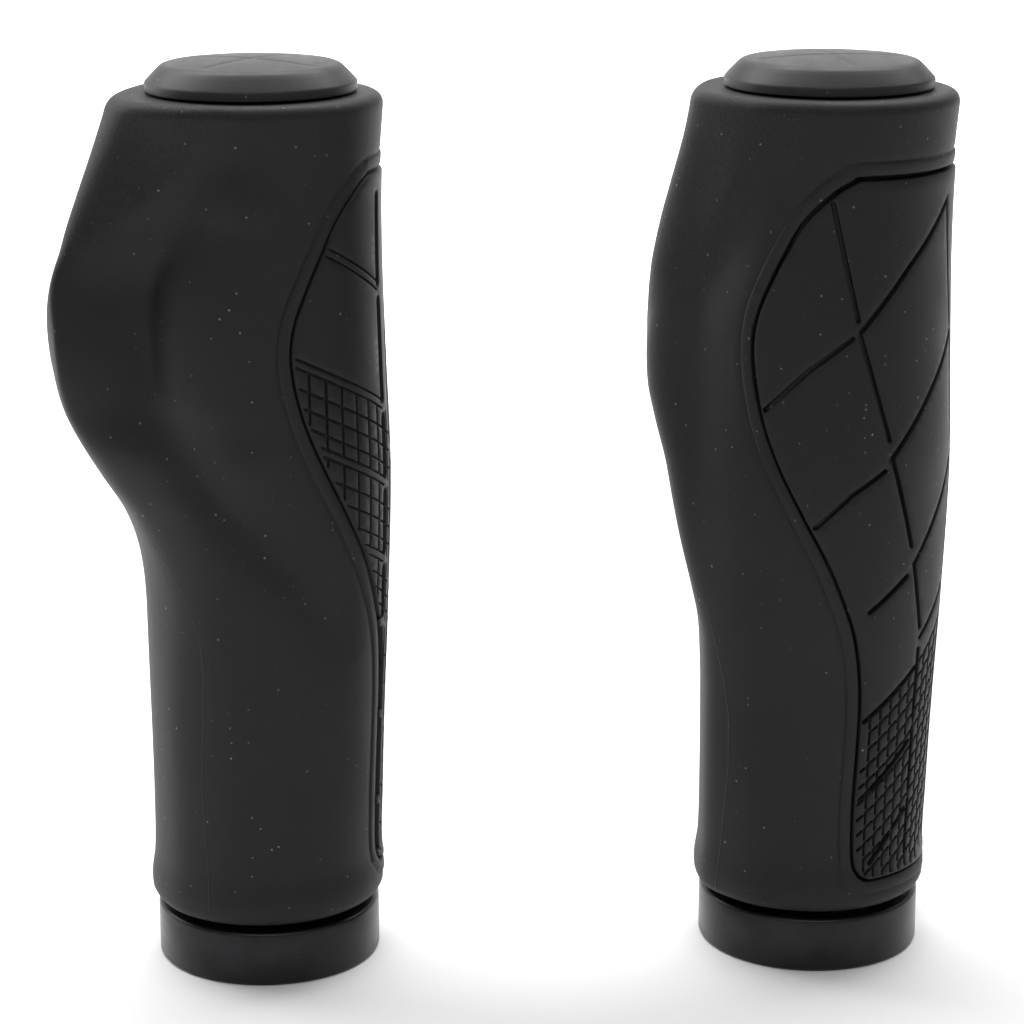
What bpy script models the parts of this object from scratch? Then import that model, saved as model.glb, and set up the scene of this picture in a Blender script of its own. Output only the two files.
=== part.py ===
"""A left and a right ergonomic lock-on grip for a bicycle handlebar, each standing on its clamp ring.

Each grip is a rubber body with a palm wing, a tread pad set in a recess of the body, a stiff inner
sleeve with a core plate for the wing, a split clamp ring with its bolt, and an end cap. The bore's
axis is vertical. A grip is modelled with its wing along +X and its upper side towards +Y, and the
right grip is the mirror image of the left one. Lengths in the tables are in millimetres.
"""
import math

import bmesh
import bpy

MM = 0.001
GAP = 0.3 * MM                    # clearance between pieces that touch

OVERCUT = 1.0 * MM                # how far a cutter runs past what it cuts

# Where the two grips stand, where their wings point as angles about +Z, and how far on each
# clamp ring is indexed. The right grip is the mirrored one.
HANDS = {
    "left": {"axis": (-0.0349, -0.0039), "turn": -160.7, "hand": 1, "ring_index": 180.0},
    "right": {"axis": (0.0443, 0.0011), "turn": -220.3, "hand": -1, "ring_index": 0.0},
}

BAR_RADIUS = 11.15 * MM           # bore for a 22.2 mm handlebar
SLEEVE_RADIUS = 12.8 * MM
SLEEVE_BOTTOM = 8.3 * MM
SLEEVE_TOP = 124.5 * MM
TAB_WIDTH = 5.0 * MM              # four key tabs on the sleeve's inner end
TAB_BOTTOM = 4.0 * MM
TAB_OFFSET = 45.0                 # degrees from the ring's slit to the first tab
SLIT_ANGLE = 74.7                 # degrees from the wing to the slit, before the ring is indexed
SLEEVE_STEPS = 40

BODY_BOTTOM = 9.0
BODY_TOP = 124.8
BOTTOM_ROUND = 1.6
TOP_ROUND = 1.8
SIDES = 44                        # faces round the body
CROWDING = 0.55                   # how much closer together they are at the wing

# Height, radius towards the wing, radius towards the pad.
BARREL = (
    (9.0, 16.5, 16.5), (12.0, 16.7, 16.7), (16.0, 16.0, 16.2), (24.0, 15.8, 16.4), (36.0, 15.9, 16.8),
    (54.0, 16.3, 17.6), (72.0, 16.8, 18.1), (88.0, 16.8, 17.6), (102.0, 16.9, 17.2), (114.0, 17.1, 17.3),
    (125.0, 18.0, 18.1),
)
# Height and rise of the barrel's shoulder beside the wing on the upper side.
SHOULDER = ((40.0, 0.0), (76.0, 0.0), (80.0, 0.7), (85.0, 1.4), (92.0, 1.7), (98.0, 1.5), (104.0, 0.9),
            (110.0, 0.3), (115.0, 0.0), (125.0, 0.0))
SHOULDER_PLACE = 24.0             # degrees from the wing
SHOULDER_WIDTH = 36.0

# The wing's faces: height, direction of the upper flank in degrees from the wing, and the distances
# from the axis of the upper flank, the end, the lower corner and the lower flank.
WING = (
    (40.0, 50.0, 15.0, 14.8, 15.0, 15.5), (48.0, 46.0, 15.5, 14.4, 15.8, 16.0),
    (54.0, 44.0, 15.9, 14.2, 17.6, 16.4), (60.0, 42.0, 16.2, 15.4, 19.4, 16.6),
    (66.0, 44.0, 16.4, 18.1, 20.7, 16.9), (72.0, 50.0, 16.5, 22.1, 21.9, 17.0),
    (77.5, 62.0, 15.2, 25.5, 23.5, 16.7), (83.0, 77.0, 10.2, 28.3, 24.8, 16.0),
    (89.0, 88.0, 6.2, 29.8, 25.3, 15.4), (95.0, 89.0, 5.6, 30.2, 24.9, 15.6),
    (100.0, 85.0, 7.0, 29.6, 24.3, 16.3), (106.0, 72.0, 12.6, 27.8, 23.1, 16.8),
    (111.0, 60.0, 16.2, 25.7, 21.8, 17.1), (117.0, 55.0, 16.9, 23.0, 20.2, 17.3),
    (125.0, 50.0, 17.4, 19.6, 18.2, 17.6),
)
END_FACING, CORNER_FACING, LOWER_FACING = 2.0, -34.0, -82.0
SHARPNESS = 16                    # the higher, the smaller the roundings between the faces
PAST_FLANK = 78.0                 # degrees past a flank's middle at which its radius stops falling

# Height and width over which the wing's upper and lower flank run into the barrel.
BLENDS = (
    (40.0, 3.0, 3.0), (66.0, 3.4, 3.0), (77.5, 5.0, 3.0), (83.0, 6.0, 4.0), (89.0, 6.0, 4.0),
    (95.0, 6.0, 4.0), (100.0, 5.0, 3.0), (106.0, 4.0, 3.0), (117.0, 3.0, 3.0), (125.0, 3.0, 3.0),
)
BLEND_SPLIT = -14.0               # degrees from the wing between the two blends
BODY_HEIGHTS = (13.5, 16.0, 20.0, 28.0, 36.0, 44.0, 50.0, 55.0, 60.0, 65.0, 70.0, 75.0, 80.0, 85.0,
                90.0, 95.0, 100.0, 105.0, 110.0, 115.0, 119.0)

# Height and half width in degrees of the tread pad, which is centred opposite the wing.
PAD = (
    (13.8, 18.0), (16.0, 29.0), (19.0, 33.0), (26.0, 33.5), (34.0, 32.5), (42.0, 32.5), (50.0, 36.0),
    (56.0, 42.5), (62.0, 51.0), (68.0, 61.5), (76.0, 75.0), (83.0, 84.0), (90.0, 88.5), (95.0, 87.0),
    (100.0, 80.5), (105.0, 72.0), (109.0, 64.0), (113.0, 50.0), (114.6, 40.0),
)
PAD_COLUMNS = 14
PAD_RISE = 0.4                    # the pad stands this far out of the barrel
PAD_DEPTH = 1.2                   # and reaches this far below the barrel's surface
RECESS_RISE = 1.4                 # the recess's cutter stands out further than the pad

CORE_REACH = 22.5 * MM            # the wing's core plate
CORE_HALF_HEIGHT = 16.0 * MM
CORE_HEIGHT = 91.0 * MM
CORE_THICKNESS = 3.0 * MM
CORE_ROOT = 0.8 * MM              # how far the plate runs into the sleeve's wall
CORE_TAPER = 0.55                 # height of the plate's outer edge as a share of its root's

RING_RADIUS = 16.0 * MM
RING_HEIGHT = 8.0 * MM
RING_CHAMFER = 0.5 * MM
SLIT_WIDTH = 1.6 * MM
LUG_RADIUS = 17.2 * MM            # the lug that the bolt runs through
LUG_BACK = -7.0 * MM
LUG_FRONT = 7.6 * MM
LUG_ROOT = 1.6 * MM               # the lug starts this far outside the bore
LUG_ROUND = 1.2 * MM
RING_STEPS = 48

BOLT_RADIUS = 1.5 * MM            # M3, hex socket
BOLT_OFFSET = 14.0 * MM           # from the ring's axis to the bolt's
BOLT_HEIGHT = 3.6 * MM
BOLT_END = -5.5 * MM
BOLT_CHAMFER = 0.4 * MM
BOLT_CLEARANCE = 0.2 * MM
HOLE_SPARE = 4.0 * MM             # the hole runs this far past the bolt's end
HEAD_RADIUS = 2.75 * MM
HEAD_LENGTH = 3.0 * MM
HEAD_CHAMFER = 0.3 * MM
SEAT_LENGTH = 8.0 * MM            # the clear way in front of the lug for the head and a key
HEX_ACROSS = 2.5 * MM
HEX_DEPTH = 1.6 * MM
BOLT_STEPS = 24

CAP_RADIUS = 14.5 * MM
CAP_RIM_BOTTOM = 125.1 * MM
CAP_RIM_TOP = 126.2 * MM
CAP_EDGE_RADIUS = 12.2 * MM
CAP_EDGE_TOP = 128.3 * MM
CAP_TOP = 129.7 * MM
CAP_CROWN = 0.5 * MM              # fall of the dome over the inner part of the top
CAP_CROWN_SHARE = 0.6
CAP_EASE = 0.2 * MM
CAP_STEPS = 32
SPIGOT_RADIUS = 12.2 * MM         # the step under the flange, which stands on the sleeve
SPIGOT_BOTTOM = 124.8 * MM
STEM_RADIUS = 8.0 * MM
STEM_RIB_RADIUS = 9.2 * MM
STEM_HOLLOW = 6.0 * MM
STEM_BOTTOM = 99.0 * MM
STEM_RIBS = 4
RIB_OFFSET = 1.0 * MM             # from a rib's place up to where it starts
RIB_SLOPE = 0.6 * MM
RIB_WIDTH = 0.8 * MM
RIB_LEAD = 1.2 * MM               # longer slope below, so that the plug pushes in

MATERIALS = {                     # colour, roughness, metallic
    "grip_rubber": ((0.022, 0.022, 0.023, 1.0), 0.62, 0.0),
    "tread_rubber": ((0.018, 0.018, 0.019, 1.0), 0.55, 0.0),
    "sleeve_nylon": ((0.014, 0.014, 0.015, 1.0), 0.50, 0.0),
    "black_aluminium": ((0.030, 0.031, 0.033, 1.0), 0.34, 0.9),
    "bolt_steel": ((0.620, 0.615, 0.600, 1.0), 0.25, 1.0),
    "cap_plastic": ((0.040, 0.040, 0.042, 1.0), 0.48, 0.0),
}


def station(table, height):
    """The table's values at a height, on a smooth curve through its rows."""
    last = len(table) - 2
    row = max(0, min(last, sum(1 for entry in table if entry[0] <= height) - 1))
    low, high = table[row], table[row + 1]
    before, after = table[max(row - 1, 0)], table[min(row + 2, last + 1)]
    span = high[0] - low[0]
    t = max(0.0, min(1.0, (height - low[0]) / span))
    values = []
    for column in range(1, len(low)):
        start = (high[column] - before[column]) / (high[0] - before[0]) * span
        end = (after[column] - low[column]) / (after[0] - low[0]) * span
        values.append(low[column] * (2 * t**3 - 3 * t**2 + 1) + start * (t**3 - 2 * t**2 + t)
                      + high[column] * (3 * t**2 - 2 * t**3) + end * (t**3 - t**2))
    return values


def barrel_radius(angle, height):
    """Radius of the barrel in millimetres; angle is in radians from the wing."""
    towards_wing, towards_pad = station(BARREL, height)
    off = (angle - math.radians(SHOULDER_PLACE) + math.pi) % (2 * math.pi) - math.pi
    shoulder = station(SHOULDER, height)[0] * math.exp(-(off / math.radians(SHOULDER_WIDTH))**2)
    return towards_wing + (towards_pad - towards_wing) * (1 - math.cos(angle)) / 2 + shoulder


def wing_radius(angle, height):
    """Radius in millimetres of the wing: an end, a corner and two flanks, rounded between them."""
    upper_facing, upper, end, corner, lower = station(WING, height)
    total = 0.0
    for facing, distance, past in ((upper_facing, upper, 1), (END_FACING, end, 0),
                                   (CORNER_FACING, corner, 0), (LOWER_FACING, lower, -1)):
        off = (angle - math.radians(facing) + math.pi) % (2 * math.pi) - math.pi
        share = max(math.cos(off), 0.0)
        if off * past > 0:
            share = 1 / math.cos(min(abs(off), math.radians(PAST_FLANK)))
        total += (share / distance)**SHARPNESS
    return total**(-1 / SHARPNESS)


def body_radius(angle, height):
    """Radius of the rubber body: the barrel and the wing, blended where they meet."""
    barrel, wing = barrel_radius(angle, height), wing_radius(angle, height)
    upper, lower = station(BLENDS, height)
    width = upper if math.sin(angle - math.radians(BLEND_SPLIT)) > 0 else lower
    blend = max(width - abs(barrel - wing), 0.0) / width
    return max(barrel, wing) + blend**2 * width / 4


def collection(name):
    made = bpy.data.collections.new(name)
    bpy.context.scene.collection.children.link(made)
    return made


def material(name):
    made = bpy.data.materials.get(name) or bpy.data.materials.new(name)
    made.use_nodes = True
    shader = made.node_tree.nodes["Principled BSDF"]
    colour, roughness, metallic = MATERIALS[name]
    shader.inputs["Base Color"].default_value = colour
    shader.inputs["Roughness"].default_value = roughness
    shader.inputs["Metallic"].default_value = metallic
    made.diffuse_color = colour
    return made


def from_bmesh(bm, name, group):
    """An object of the mesh, with its faces turned out."""
    bmesh.ops.recalc_face_normals(bm, faces=bm.faces)
    mesh = bpy.data.meshes.new(name)
    bm.to_mesh(mesh)
    bm.free()
    made = bpy.data.objects.new(name, mesh)
    group.objects.link(made)
    return made


def loft(rings, closed, name, group):
    """A surface through rings of equally many points; closed joins the last ring to the first."""
    bm = bmesh.new()
    rows = [[bm.verts.new(point) for point in ring] for ring in rings]
    count = len(rows[0])
    pairs = list(zip(rows, rows[1:] + rows[:1])) if closed else list(zip(rows, rows[1:]))
    for lower, upper in pairs:
        for i in range(count):
            j = (i + 1) % count
            bm.faces.new((lower[i], lower[j], upper[j], upper[i]))
    if not closed:
        bm.faces.new(rows[0][::-1])
        bm.faces.new(rows[-1])
    return from_bmesh(bm, name, group)


def turned(profile, steps, name, group):
    """A solid or ring turned from a profile of radii and heights with a Screw modifier."""
    bm = bmesh.new()
    points = [bm.verts.new((radius, 0.0, height)) for radius, height in profile]
    for start, end in zip(points, points[1:]):
        bm.edges.new((start, end))
    if profile[0][0] > 0.0:
        bm.edges.new((points[-1], points[0]))
    mesh = bpy.data.meshes.new(name)
    bm.to_mesh(mesh)
    bm.free()
    made = bpy.data.objects.new(name, mesh)
    group.objects.link(made)
    screw = made.modifiers.new("turn", "SCREW")
    screw.steps = steps
    screw.render_steps = steps
    screw.use_merge_vertices = True
    screw.merge_threshold = 0.00001
    return made


def block(low, high, name, group, taper=1.0):
    """A box between two corners; taper shortens its +X face along Z."""
    bm = bmesh.new()
    bmesh.ops.create_cube(bm, size=1.0)
    middle_height = (low[2] + high[2]) / 2
    for vert in bm.verts:
        outer = vert.co.x > 0
        vert.co = [low[k] + (vert.co[k] + 0.5) * (high[k] - low[k]) for k in range(3)]
        if outer:
            vert.co.z = middle_height + (vert.co.z - middle_height) * taper
    return from_bmesh(bm, name, group)


def rod(radius, start, end, name, group):
    """A cylinder along Y beside the ring's axis, on the bolt's axis."""
    bm = bmesh.new()
    bmesh.ops.create_cone(bm, cap_ends=True, segments=BOLT_STEPS, radius1=radius, radius2=radius,
                          depth=end - start)
    for vert in bm.verts:
        x, y, z = vert.co
        vert.co = (BOLT_OFFSET + x, (start + end) / 2 + z, BOLT_HEIGHT - y)
    return from_bmesh(bm, name, group)


def combine(target, other, operation):
    """A Boolean with the exact solver; the other object is only its tool."""
    modifier = target.modifiers.new(operation.lower(), "BOOLEAN")
    modifier.operation = operation
    modifier.solver = "EXACT"
    modifier.object = other
    other.hide_render = True
    other.display_type = "WIRE"


def mirrored(made, hand):
    """Mirrors a mesh in the plane of the wing for the other hand."""
    if hand < 0:
        bm = bmesh.new()
        bm.from_mesh(made.data)
        for vert in bm.verts:
            vert.co.y = -vert.co.y
        bmesh.ops.reverse_faces(bm, faces=bm.faces)
        bm.to_mesh(made.data)
        bm.free()


class Grip:
    """One grip: its pieces are modelled about the bore's axis and placed by parenting to an empty."""

    def __init__(self, side, parts, cutters):
        self.side = side
        self.parts = parts
        self.cutters = cutters
        self.hand = HANDS[side]["hand"]
        self.ring_turn = SLIT_ANGLE + HANDS[side]["ring_index"]
        self.origin = bpy.data.objects.new(f"{side}_axis", None)
        self.origin.location = (*HANDS[side]["axis"], 0.0)
        self.origin.rotation_euler.z = math.radians(HANDS[side]["turn"])
        parts.objects.link(self.origin)

    def name(self, piece):
        return f"{self.side}_{piece}"

    def place(self, made, turn=0.0):
        """Puts a piece, or a tool for one, on the grip's axis, turned from the wing's direction."""
        mirrored(made, self.hand)
        made.parent = self.origin
        made.rotation_euler.z = math.radians(turn) * self.hand

    def finish(self, made, slot, sharp=35.0):
        made.data.materials.append(material(slot))
        made.data.shade_smooth()
        made.data.set_sharp_from_angle(angle=math.radians(sharp))

    def cut(self, target, tool, operation="DIFFERENCE", turn=0.0):
        self.place(tool, turn)
        combine(target, tool, operation)

    def body_angles(self):
        """Angles round the body, closest together at the wing."""
        even = [2 * math.pi * i / SIDES for i in range(SIDES)]
        return [angle - CROWDING * math.sin(angle) for angle in even]

    def body_ring(self, height, inset=0.0, radius=None):
        points = []
        for angle in self.body_angles():
            reach = radius if radius is not None else body_radius(angle, height) - inset
            points.append((reach * math.cos(angle) * MM, reach * math.sin(angle) * MM, height * MM))
        return points

    def grip_body(self):
        """Rubber body: a lofted barrel with its wing, with rounded ends, open along the sleeve."""
        bore = (SLEEVE_RADIUS + GAP) / MM
        rings = [self.body_ring(BODY_BOTTOM, radius=bore)]
        for turn in (0.0, 45.0, 90.0):
            t = math.radians(turn)
            rings.append(self.body_ring(BODY_BOTTOM + BOTTOM_ROUND * (1 - math.cos(t)),
                                        inset=BOTTOM_ROUND * (1 - math.sin(t))))
        rings += [self.body_ring(height) for height in BODY_HEIGHTS]
        for turn in (0.0, 30.0, 60.0, 90.0):
            t = math.radians(turn)
            rings.append(self.body_ring(BODY_TOP - TOP_ROUND * (1 - math.sin(t)),
                                        inset=TOP_ROUND * (1 - math.cos(t))))
        rings.append(self.body_ring(BODY_TOP, radius=bore))
        body = loft(rings, True, self.name("grip_body"), self.parts)
        self.cut(body, self.pad_solid(GAP / MM, RECESS_RISE, self.name("pad_recess"), self.cutters))
        core = self.core_plate(GAP, self.name("core_slot"), self.cutters)
        self.cut(body, core)
        self.place(body)
        self.finish(body, "grip_rubber")

    def pad_solid(self, margin, rise, name, group):
        """The tread pad's plate, or the recess for it when margin is the clearance round it."""
        rings = []
        last = len(PAD) - 1
        for row, (height, half) in enumerate(PAD):
            height += margin * ((row == last) - (row == 0))
            half = math.radians(half) + margin / barrel_radius(math.pi, height)
            outer, inner = [], []
            for column in range(PAD_COLUMNS + 1):
                angle = math.pi + half * (2 * column / PAD_COLUMNS - 1)
                surface = barrel_radius(angle, height)
                for points, reach in ((outer, surface + rise), (inner, surface - PAD_DEPTH - margin)):
                    points.append((reach * math.cos(angle) * MM, reach * math.sin(angle) * MM, height * MM))
            rings.append(outer + inner[::-1])
        return loft(rings, False, name, group)

    def tread_pad(self):
        pad = self.pad_solid(0.0, PAD_RISE, self.name("tread_pad"), self.parts)
        self.place(pad)
        self.finish(pad, "tread_rubber")

    def core_plate(self, margin, name, group):
        """The wing's core plate, or the slot for it when margin is the clearance round it."""
        half = CORE_THICKNESS / 2 + margin
        low = (SLEEVE_RADIUS - CORE_ROOT, -half, CORE_HEIGHT - CORE_HALF_HEIGHT - margin)
        high = (CORE_REACH + margin, half, CORE_HEIGHT + CORE_HALF_HEIGHT + margin)
        return block(low, high, name, group, CORE_TAPER)

    def inner_sleeve(self):
        """Nylon tube with four key tabs at its inner end and the core plate of the wing."""
        profile = [(SLEEVE_RADIUS, SLEEVE_TOP), (SLEEVE_RADIUS, TAB_BOTTOM),
                   (BAR_RADIUS, TAB_BOTTOM), (BAR_RADIUS, SLEEVE_TOP)]
        sleeve = turned(profile, SLEEVE_STEPS, self.name("inner_sleeve"), self.parts)
        for quarter in range(4):
            low = (TAB_WIDTH / 2, TAB_WIDTH / 2, TAB_BOTTOM - OVERCUT)
            high = (RING_RADIUS, RING_RADIUS, SLEEVE_BOTTOM)
            tool = block(low, high, self.name(f"tab_gap_{quarter}"), self.cutters)
            self.cut(sleeve, tool, turn=SLIT_ANGLE + TAB_OFFSET + 90.0 * quarter)
        self.cut(sleeve, self.core_plate(0.0, self.name("core_plate"), self.cutters), "UNION")
        self.place(sleeve)
        self.finish(sleeve, "sleeve_nylon")

    def clamp_ring(self):
        """Split ring with a lug for the bolt, a slit through it and four slots for the tabs."""
        turn = self.ring_turn
        profile = [
            (RING_RADIUS, RING_HEIGHT - RING_CHAMFER), (RING_RADIUS, RING_CHAMFER),
            (RING_RADIUS - RING_CHAMFER, 0.0), (BAR_RADIUS, 0.0), (BAR_RADIUS, RING_HEIGHT),
            (RING_RADIUS - RING_CHAMFER, RING_HEIGHT),
        ]
        ring = turned(profile, RING_STEPS, self.name("clamp_ring"), self.parts)
        lug_low = (BAR_RADIUS + LUG_ROOT, LUG_BACK, RING_CHAMFER)
        lug_high = (LUG_RADIUS, LUG_FRONT, RING_HEIGHT - RING_CHAMFER)
        lug = block(lug_low, lug_high, self.name("ring_lug"), self.cutters)
        rounding = lug.modifiers.new("round", "BEVEL")
        rounding.width = LUG_ROUND
        rounding.segments = 3
        self.cut(ring, lug, "UNION", turn)
        reach = SLEEVE_RADIUS + GAP
        half = TAB_WIDTH / 2 + GAP
        for slot in range(2):
            low = (-reach, -half, TAB_BOTTOM - GAP)
            high = (reach, half, RING_HEIGHT + OVERCUT)
            tool = block(low, high, self.name(f"tab_slot_{slot}"), self.cutters)
            self.cut(ring, tool, turn=turn + TAB_OFFSET + 90.0 * slot)
        slit_low = (BAR_RADIUS - OVERCUT, -SLIT_WIDTH / 2, -OVERCUT)
        slit_high = (LUG_RADIUS + OVERCUT, SLIT_WIDTH / 2, RING_HEIGHT + OVERCUT)
        self.cut(ring, block(slit_low, slit_high, self.name("ring_slit"), self.cutters), turn=turn)
        hole = rod(BOLT_RADIUS + BOLT_CLEARANCE, BOLT_END - HOLE_SPARE, LUG_FRONT + OVERCUT,
                   self.name("bolt_hole"), self.cutters)
        self.cut(ring, hole, turn=turn)
        seat = rod(HEAD_RADIUS + GAP, LUG_FRONT, LUG_FRONT + SEAT_LENGTH,
                   self.name("head_seat"), self.cutters)
        self.cut(ring, seat, turn=turn)
        self.place(ring, turn)
        self.finish(ring, "black_aluminium")

    def clamp_bolt(self):
        """Hex socket bolt; its origin is on its own axis, which is tangential to the ring."""
        turn = self.ring_turn
        under_head = LUG_FRONT + GAP
        profile = [
            (0.0, HEAD_LENGTH), (HEAD_RADIUS - HEAD_CHAMFER, HEAD_LENGTH),
            (HEAD_RADIUS, HEAD_LENGTH - HEAD_CHAMFER), (HEAD_RADIUS, 0.0), (BOLT_RADIUS, 0.0),
            (BOLT_RADIUS, BOLT_END - under_head + BOLT_CHAMFER),
            (BOLT_RADIUS - BOLT_CHAMFER, BOLT_END - under_head), (0.0, BOLT_END - under_head),
        ]
        bolt = turned(profile, BOLT_STEPS, self.name("clamp_bolt"), self.parts)
        socket = bmesh.new()
        corner = HEX_ACROSS / math.sqrt(3.0)
        bmesh.ops.create_cone(socket, cap_ends=True, segments=6, radius1=corner, radius2=corner,
                              depth=2 * HEX_DEPTH)
        for vert in socket.verts:
            vert.co.z += HEAD_LENGTH
        tool = from_bmesh(socket, self.name("hex_socket"), self.cutters)
        angle = math.radians(turn) * self.hand
        across, along = BOLT_OFFSET, under_head * self.hand
        for made in (bolt, tool):
            made.parent = self.origin
            made.location = (across * math.cos(angle) - along * math.sin(angle),
                             across * math.sin(angle) + along * math.cos(angle), BOLT_HEIGHT)
            made.rotation_euler = (-math.pi / 2 * self.hand, 0.0, angle)
        combine(bolt, tool, "DIFFERENCE")
        self.finish(bolt, "bolt_steel")

    def end_cap(self):
        """Domed plug: a flange over a spigot, and a hollow stem with ribs that grip inside the bar."""
        profile = [(0.0, CAP_TOP), (CAP_EDGE_RADIUS * CAP_CROWN_SHARE, CAP_TOP - CAP_CROWN),
                   (CAP_EDGE_RADIUS, CAP_EDGE_TOP), (CAP_RADIUS - CAP_EASE, CAP_RIM_TOP + CAP_EASE),
                   (CAP_RADIUS, CAP_RIM_TOP), (CAP_RADIUS, CAP_RIM_BOTTOM),
                   (SPIGOT_RADIUS, CAP_RIM_BOTTOM), (SPIGOT_RADIUS, SPIGOT_BOTTOM),
                   (STEM_RADIUS, SPIGOT_BOTTOM)]
        pitch = (SPIGOT_BOTTOM - STEM_BOTTOM) / (STEM_RIBS + 1)
        for rib in range(STEM_RIBS):
            top = SPIGOT_BOTTOM - pitch * (rib + 1) + RIB_OFFSET
            crest = top - RIB_SLOPE
            foot = crest - RIB_WIDTH
            profile += [(STEM_RADIUS, top), (STEM_RIB_RADIUS, crest),
                        (STEM_RIB_RADIUS, foot), (STEM_RADIUS, foot - RIB_LEAD)]
        profile += [(STEM_RADIUS, STEM_BOTTOM), (STEM_HOLLOW, STEM_BOTTOM),
                    (STEM_HOLLOW, SPIGOT_BOTTOM), (0.0, SPIGOT_BOTTOM)]
        cap = turned(profile, CAP_STEPS, self.name("end_cap"), self.parts)
        self.place(cap)
        self.finish(cap, "cap_plastic")


def main():
    for existing in list(bpy.data.objects):
        bpy.data.objects.remove(existing, do_unlink=True)
    parts = collection("bar_end_grips")
    cutters = collection("cutters")
    for side in HANDS:
        grip = Grip(side, parts, cutters)
        grip.grip_body()
        grip.tread_pad()
        grip.inner_sleeve()
        grip.clamp_ring()
        grip.clamp_bolt()
        grip.end_cap()


main()
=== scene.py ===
"""Looks of a left and a right lock-on handlebar grip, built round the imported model.

Every piece is modelled about its grip's axis, with the wing along +X and its upper side towards +Y,
and is then set on that axis, mirrored for the right grip. Tables are in millimetres and degrees.
"""
import math

import bpy
import numpy as np
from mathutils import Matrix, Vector
from mathutils.geometry import delaunay_2d_cdt


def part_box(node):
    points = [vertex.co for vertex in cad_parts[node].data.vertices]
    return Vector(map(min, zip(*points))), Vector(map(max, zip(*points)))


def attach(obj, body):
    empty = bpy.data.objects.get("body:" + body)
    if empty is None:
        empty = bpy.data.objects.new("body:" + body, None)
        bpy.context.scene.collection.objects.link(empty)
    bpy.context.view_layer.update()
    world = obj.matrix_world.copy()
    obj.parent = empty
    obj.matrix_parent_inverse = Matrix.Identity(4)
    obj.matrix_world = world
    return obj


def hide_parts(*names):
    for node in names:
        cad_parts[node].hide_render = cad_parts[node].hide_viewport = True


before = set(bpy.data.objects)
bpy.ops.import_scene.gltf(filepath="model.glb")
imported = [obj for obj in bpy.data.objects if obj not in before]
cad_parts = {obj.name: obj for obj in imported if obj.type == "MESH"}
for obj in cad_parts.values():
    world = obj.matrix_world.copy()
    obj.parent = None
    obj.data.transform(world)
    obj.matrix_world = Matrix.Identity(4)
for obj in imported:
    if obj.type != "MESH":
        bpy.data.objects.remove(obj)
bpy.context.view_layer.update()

MM = 0.001

# Which way each wing points about +Z, as in the CAD; the right grip is the mirrored one.
WING_TURN = {"left": -160.7, "right": -220.3}
HAND = {"left": 1, "right": -1}
RING_INDEX = {"left": 254.7, "right": 74.7}  # from the wing to the ring's slit

# The barrel's sections, as in the CAD: height, radius towards the wing, radius towards the pad.
BARREL = (
    (9, 16.5, 16.5), (12, 16.7, 16.7), (16, 16, 16.2), (24, 15.8, 16.4), (36, 15.9, 16.8),
    (54, 16.3, 17.6), (72, 16.8, 18.1), (88, 16.8, 17.6), (102, 16.9, 17.2), (114, 17.1, 17.3),
    (125, 18, 18.1),
)
# Height and rise of the barrel's shoulder beside the wing on the upper side.
SHOULDER = (
    (40, 0), (76, 0), (80, 0.7), (85, 1.4), (92, 1.7), (98, 1.5), (104, 0.9), (110, 0.3), (115, 0),
    (125, 0),
)
SHOULDER_PLACE = 24.0  # degrees from the wing
SHOULDER_WIDTH = 36.0
# The wing's faces, as in the CAD but with a fuller lower flank: height, direction of the upper flank
# in degrees from the wing, and the distances from the axis of the upper flank, the end, the lower
# corner and the lower flank.
WING = (
    (40, 50, 15, 14.8, 15, 15.5), (48, 46, 15.5, 14.4, 15.8, 16), (54, 44, 15.9, 14.2, 17.6, 16.4),
    (60, 42, 16.2, 15.4, 19.4, 16.6), (66, 44, 16.4, 18.1, 20.7, 16.9), (72, 50, 16.5, 22.1, 21.9, 16.8),
    (77.5, 62, 15.2, 25.5, 23.5, 16.5), (83, 77, 10.2, 28.3, 24.8, 16.2), (89, 88, 6.2, 29.8, 25.3, 16),
    (95, 89, 5.6, 30.2, 24.9, 16), (100, 85, 7, 29.6, 24.3, 16.2), (106, 72, 12.6, 27.8, 23.1, 16.6),
    (111, 60, 16.2, 25.7, 21.8, 17.1), (117, 55, 16.9, 23, 20.2, 17.3), (125, 50, 17.4, 19.6, 18.2, 17.6),
)
END_FACING, CORNER_FACING, LOWER_FACING = 2.0, -34.0, -90.0
SHARPNESS = 16  # the higher, the smaller the roundings between the faces
PAST_FLANK = 78.0  # degrees past a flank's middle at which its radius stops falling

# Height and width over which the wing's upper and lower flank run into the barrel.
BLENDS = (
    (40, 3, 3), (66, 3.4, 3), (77.5, 5, 2.5), (83, 6, 2.5), (89, 6, 2.5), (95, 6, 2.5), (100, 5, 2.5),
    (106, 4, 2.5), (117, 3, 3), (125, 3, 3),
)
BLEND_SPLIT = -14.0  # degrees from the wing between the two blends
BODY_BOTTOM = 9.0
BODY_TOP = 124.8
BOTTOM_ROUND = 1.6
TOP_ROUND = 1.8
BORE_RADIUS = 13.1  # round the sleeve

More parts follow.
